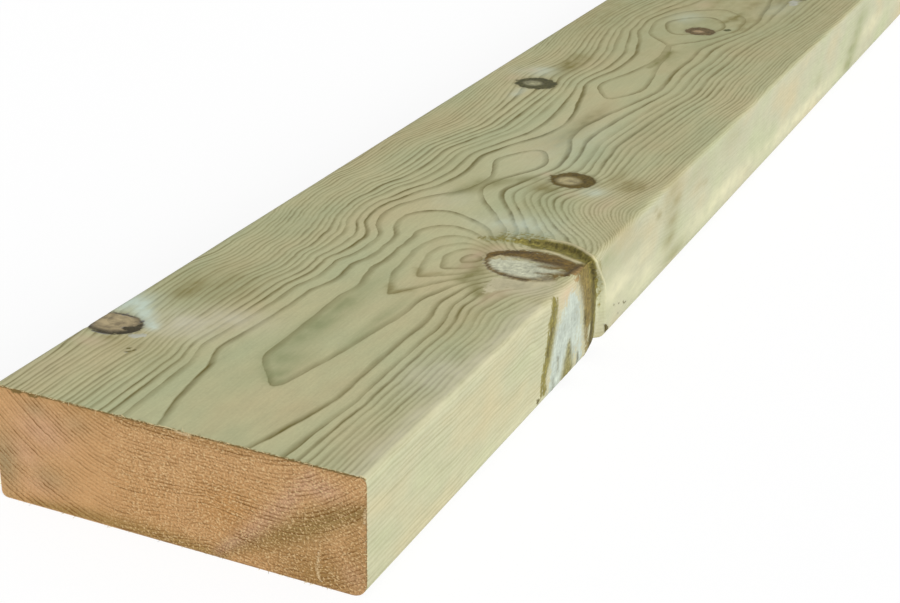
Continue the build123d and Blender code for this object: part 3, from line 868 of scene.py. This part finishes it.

# Circular-saw cut across the grain: dry and fuzzy, pinkish tan, with thin dark ring lines, fine slanting
# tooth marks, and pale flecks of torn fibre where fibres stand up, lit further as painted highlight, with
# dark pits painted as shade where the fibres lie low.
sawn = {
    # the fleck colour is pale fibre lit as painted highlight, the pit colour painted shade in the low spots
    "colours": {"early": "CB9F6D", "late": "7A5528", "litFleck": "E2C492", "shadedPit": "8A6A3C"},
    "roughness": 0.92,
    "specular": 0.2,
    "bump": 0.6,  # mm
    "fields": ["ring", "pace", "stain", "scar", "torn"],
    "noise": {
        "wander": ((7, 7, 7), 3, 0), "patch": ((8, 8, 5), 3, 0), "blotch": ((6, 6, 6), 4, 0),
        "kerf": ((16, 16, 0.55), 2, 38), "fuzz": ((0.8, 0.8, 0.8), 4, 0), "fibre": ((0.9, 0.9, 0.7), 4, 0),
    },
    "numbers": {"wanderWidth": 1, "lineWidth": 0.8, "fadeWidth": 0.3, "skirtShare": 0.35, "weakest": 0.35,
                "lateShare": 0.82},
    "steps": ringSteps + [
        # ring lines, in patches, and darker where the wood is stained
        ("share", "FOLLOW", "patch", 0.3, 0.7, 0.15, 1.2), ("lines", "MULTIPLY", "line", "share"),
        ("lines", "MINIMUM", "lines", 1), ("share", "MULTIPLY_ADD", "stainCover", 0.9, "lateShare"),
        ("lines", "MULTIPLY", "lines", "share"), ("lines", "MINIMUM", "lines", 1),
        ("wood", "MIX", "stainCover", "early", "stainColour"), ("wood", "MIX", "lines", "wood", "late"),
        # mottling
        ("mottle", "MULTIPLY_ADD", "blotch", 0.14, 0.75), ("mottle", "MULTIPLY_ADD", "kerf", 0.16, "mottle"),
        ("mottle", "MULTIPLY_ADD", "fuzz", 0.2, "mottle"), ("wood", "SHADE", 1, "wood", "mottle"),
        # flecks and pits, more of them where the cut is rough: the flecks sit where the fibre relief is high
        # and are lit as painted highlight, the pits where it is low and are painted shade
        ("share", "FOLLOW", "fibre", 0.53, 0.66, 0, 0.75), ("share", "MULTIPLY", "share", "torn"),
        ("wood", "MIX", "share", "wood", "litFleck"),
        ("share", "FOLLOW", "fibre", 0.44, 0.3, 0, 0.65), ("share", "MULTIPLY", "share", "torn"),
        ("wood", "MIX", "share", "wood", "shadedPit"),
        # scars
        ("share", "MULTIPLY_ADD", "fibre", 1.2, -0.6), ("share", "ADD", "scarCover", "share"),
        ("share", "FOLLOW", "share", 0.3, 0.7, 0, 1), ("wood", "MIX", "share", "wood", "scarColour"),
        # relief
        ("height", "MULTIPLY", "fibre", "torn"), ("height", "MULTIPLY_ADD", "kerf", 0.12, "height"),
    ],
}


def makeWood(name, settings):
    material, tree, shader = newSurface(name, settings["roughness"], settings["specular"])
    made = {key: paint(colour) for key, colour in settings["colours"].items()} | settings["numbers"]
    for key in settings["fields"]:
        colour, _, value, cover = addNode(tree, "Attribute", attribute_name=key).node.outputs
        made |= {key: value, key + "Colour": colour, key + "Cover": cover}
    place = addNode(tree, "TexCoord", out=3)
    for key, (sizes, detail, turn) in settings["noise"].items():
        sizes = [size * millimetre for size in sizes]
        stretched = addNode(tree, "Mapping", {0: place, 2: (0, math.radians(turn), 0), 3: sizes},
                            vector_type="TEXTURE")
        made[key] = addNode(tree, "TexNoise", {0: stretched, 2: 1.0, 3: detail})
    for result, kind, *sources in settings["steps"]:
        node, sockets, out, choices = kinds.get(kind, ("Math", (0, 1, 2), 0, {"operation": kind}))
        values = (made[source] if isinstance(source, str) else source for source in sources)
        made[result] = addNode(tree, node, dict(zip(sockets, values)), out, **choices)
    bump = addNode(tree, "Bump", {1: settings["bump"] * millimetre, 3: made["height"]})
    tree.links.new(bump, shader.inputs["Normal"])
    tree.links.new(made["wood"], shader.inputs["Base Color"])
    return material


# Fibres that the saw tore out and left standing along the edges of both cuts
fibres = {
    "along": {"top": 150, "right": 26, "bottom": 40, "left": 26},  # how many at each end
    "length": (0.5, 2.4),  # mm, and some of them are shorter still, down to this share
    "shortest": 0.4,
    "thickness": 0.24,
    # longer ones on the top edge: (x, length)
    "splinters": [(76, 7), (79, 5.5), (81, 4), (9, 3), (146.5, 3)],
    "splinterLean": 0.8,
    "lean": 0.9,  # the most a fibre leans away from its edge
    "outwards": 0.35,  # the least it stands out of the cut
    "scatter": 0.35,  # how far ways differ, and the share of it in x, y and z
    "scatterShare": (1.6, 0, 0.5),
    "bend": 0.16,  # a share of its length
    "root": 0.3,  # mm inside the wood
    "taper": 0.8,  # its thickness at the bend
    "clear": 0.02,  # mm over the floor
    "seed": 17,
    "colour": "CDBB8F",
    "roughness": 0.9,
    "specular": 0.2,
}


def makeFibres():
    # Each fibre is a three-sided spike, bent at half its length: two rings of three points, and a tip.
    random = np.random.default_rng(fibres["seed"])
    w, t = board["width"], board["thickness"]
    # each edge: from, to, and the way its fibres lean
    edges = {"top": ((2, t), (w - 2, t), (0, 1)), "right": ((w, t - 3), (w, 7), (1, 0)),
             "bottom": ((w - 7, 0.1), (3, 0.1), (0, 0)), "left": ((0, 4), (0, t - 3), (-1, 0))}
    each = 7  # points
    places, faces = [], []
    for end, outwards in ((0, -1), (board["length"], 1)):
        roots, lengths, leans = [], [], []
        for name, count in fibres["along"].items():
            (x0, z0), (x1, z1), lean = edges[name]
            share = random.uniform(0, 1, count)
            roots.append(np.stack([x0 + (x1 - x0) * share, np.full(count, end), z0 + (z1 - z0) * share], -1))
            length = random.uniform(*fibres["length"], count)
            lengths.append(length * random.uniform(fibres["shortest"], 1, count))
            leans.append(np.tile([lean[0], 0, lean[1]], (count, 1)))
        roots.append([(x, end, t) for x, _ in fibres["splinters"]])
        lengths.append([length for _, length in fibres["splinters"]])
        leans.append([(0, 0, fibres["splinterLean"])] * len(fibres["splinters"]))
        root, length, lean = np.concatenate(roots), np.concatenate(lengths)[:, None], np.concatenate(leans)
        count = len(root)
        way = lean * random.uniform(0, fibres["lean"], (count, 1))
        way = way + random.normal(0, fibres["scatter"], (count, 3)) * fibres["scatterShare"]
        way[:, 1] = outwards * random.uniform(fibres["outwards"], 1, count)
        way /= np.linalg.norm(way, axis=1)[:, None]
        side = np.cross(way, random.normal(size=(count, 3)))
        side *= fibres["thickness"] / 2 / np.linalg.norm(side, axis=1)[:, None]
        other = np.cross(way, side)
        tip = root + way * length + random.normal(0, fibres["bend"], (count, 3)) * length
        turns = (0, math.tau / 3, 2 * math.tau / 3)
        ring = [side * math.cos(turn) + other * math.sin(turn) for turn in turns]
        start, middle = root - way * fibres["root"], root + way * length * 0.5
        points = np.stack([start + r for r in ring] + [middle + fibres["taper"] * r for r in ring] + [tip], 1)
        points[..., 2] = np.maximum(points[..., 2], fibres["clear"])
        first = each * (sum(len(p) for p in places) + np.arange(count))
        for a, b in ((0, 1), (1, 2), (2, 0)):
            faces += np.stack([first + a, first + b, first + 3 + b, first + 3 + a], -1).tolist()
            faces += np.stack([first + 3 + a, first + 3 + b, first + 6], -1).tolist()
        faces += np.stack([first + 2, first + 1, first], -1).tolist()
        places.append(points)
    mesh = makeMesh("saw_fibres", np.concatenate(places).reshape(-1, 3), faces)
    material, _, shader = newSurface("loose pine fibre", fibres["roughness"], fibres["specular"])
    shader.inputs["Base Color"].default_value = paint(fibres["colour"])
    mesh.materials.append(material)
    loose = addObject(mesh)
    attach(loose, "root")
    print("fibres made")


def makePlank():
    x, y, z, fields = plankSkin()
    rows, columns = x.shape
    numbers = np.arange(rows * columns).reshape(rows, columns)
    longFaces = gridFaces(numbers[:-1], numbers[1:])
    places = [np.stack([x, y, z], -1).reshape(-1, 3)]
    quads, triangles = [longFaces], []
    start = rows * columns
    for row, inwards in ((0, 1), (-1, -1)):
        ringX, ringY, ringZ = sawnEnd(x[row], y[row], z[row], inwards)
        endQuads, endTriangles = endFaces(numbers[row], ringX, ringZ, start)
        quads.append(endQuads[:, ::-inwards])
        triangles.append(endTriangles[:, ::-inwards])
        places.append(np.stack([ringX, ringY, ringZ], -1).reshape(-1, 3))
        start += ringX.size
    place = np.concatenate(places)
    quads, triangles = np.concatenate(quads), np.concatenate(triangles)
    mesh = makeMesh("plank_wood", place, quads.tolist() + triangles.tolist())

    # the ends' own points have their own rings and marks, and no knots
    endX, endY, endZ = place[rows * columns:].T
    depth = board["thickness"] - endZ
    number = ringNumber(endX, endY, depth)
    stain, _ = paintMarks(endStains, "stain", endX, depth)
    scar, _ = paintMarks(endScars, "scar", endX, depth)
    endFields = {"ring": number, "pace": ringPace(endX, endY, depth, number, (0, 1, 0)),
                 "torn": fromLeft(endX, "fuzzy"), "stain": stain, "scar": scar}
    for name, values in fields.items():
        flat = values.reshape(rows * columns, -1)
        rest = endFields.get(name, np.full((len(endX), flat.shape[1]), noKnot)).reshape(len(endX), -1)
        whole = np.vstack([flat, rest])
        kind, key = ("FLOAT", "value") if whole.shape[1] == 1 else ("FLOAT_COLOR", "color")
        mesh.attributes.new(name, kind, "POINT").data.foreach_set(key, whole.ravel())

    mesh.materials.append(makeWood("planed treated pine", planed))
    mesh.materials.append(makeWood("sawn pine end grain", sawn))
    isEnd = np.arange(len(mesh.polygons)) >= len(longFaces)
    mesh.polygons.foreach_set("material_index", isEnd.astype(np.int32))
    mesh.polygons.foreach_set("use_smooth", ~isEnd)
    plank = addObject(mesh)
    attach(plank, "root")
    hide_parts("plank")
    print("plank made,", 2 * len(quads) + len(triangles), "triangles")


makePlank()
makeFibres()
